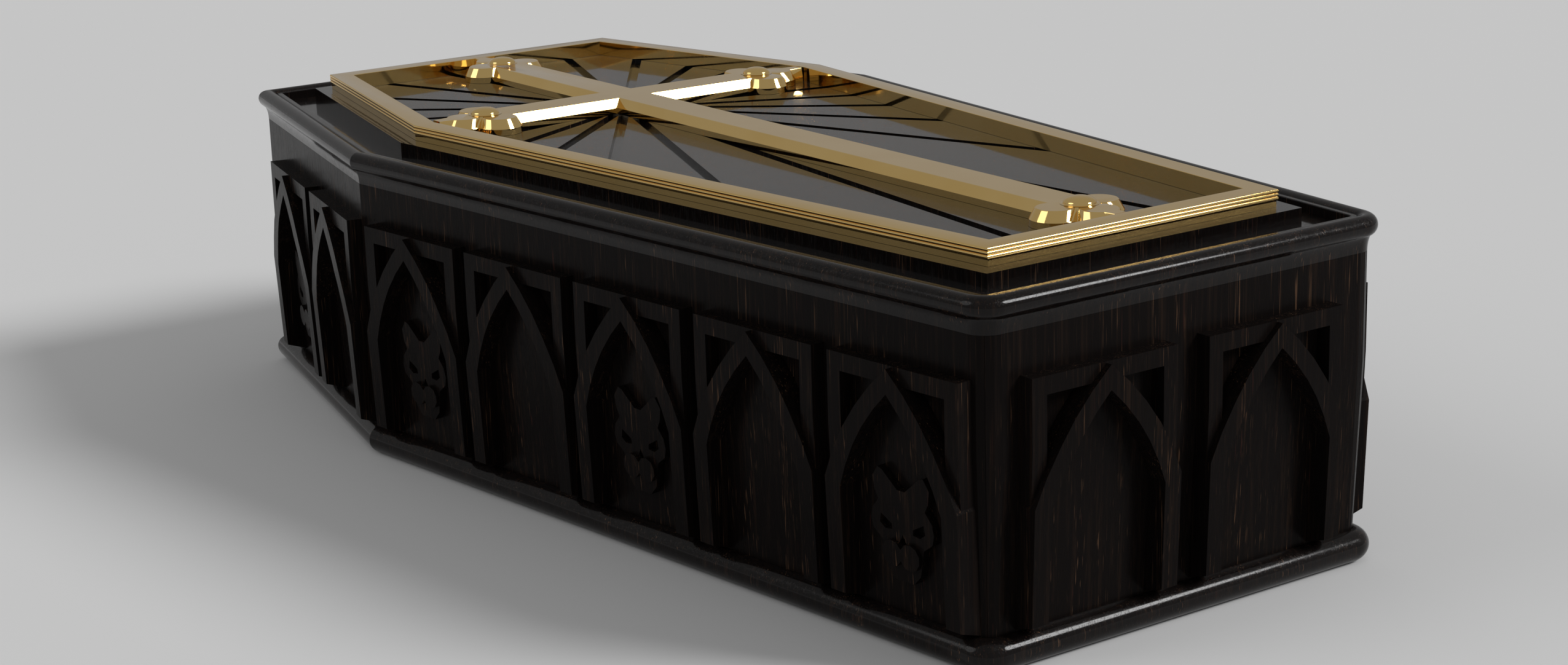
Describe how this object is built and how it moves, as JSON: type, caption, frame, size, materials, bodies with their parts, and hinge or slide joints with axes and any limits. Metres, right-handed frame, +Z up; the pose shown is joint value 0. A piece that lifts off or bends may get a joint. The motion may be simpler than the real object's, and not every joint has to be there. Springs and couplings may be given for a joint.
{
  "type": "wooden coffin",
  "caption": "Six-sided wooden coffin with carved gothic arcades and skulls, rounded rim and plinth, and a lift-off lid with a sunburst, gilt frame and gilt cross.",
  "frame": {"origin": "on the floor, below the middle of the chest's length and width", "axes": "+X from the foot end to the head end, +Y towards the left side seen from the foot, +Z up"},
  "size_m": [2.141, 1.1016, 0.5609],
  "materials": {
    "ebony_wood": "polished, near-black with fine brown grain",
    "lacquered_wood": "high gloss black lacquer",
    "gilt": "polished pale gilt"
  },
  "bodies": {
    "root": {"bottom_board": "ebony_wood", "side_board_right": "ebony_wood", "side_board_left": "ebony_wood", "shoulder_board_right": "ebony_wood", "shoulder_board_left": "ebony_wood", "head_board": "ebony_wood", "foot_board": "ebony_wood", "plinth_moulding": "ebony_wood", "rim_moulding": "ebony_wood", "lid_board": "lacquered_wood", "gilt_frame": "gilt", "gilt_cross": "gilt", "boss_head": "gilt", "boss_foot": "gilt", "boss_left": "gilt", "boss_right": "gilt"}
  },
  "joints": []
}
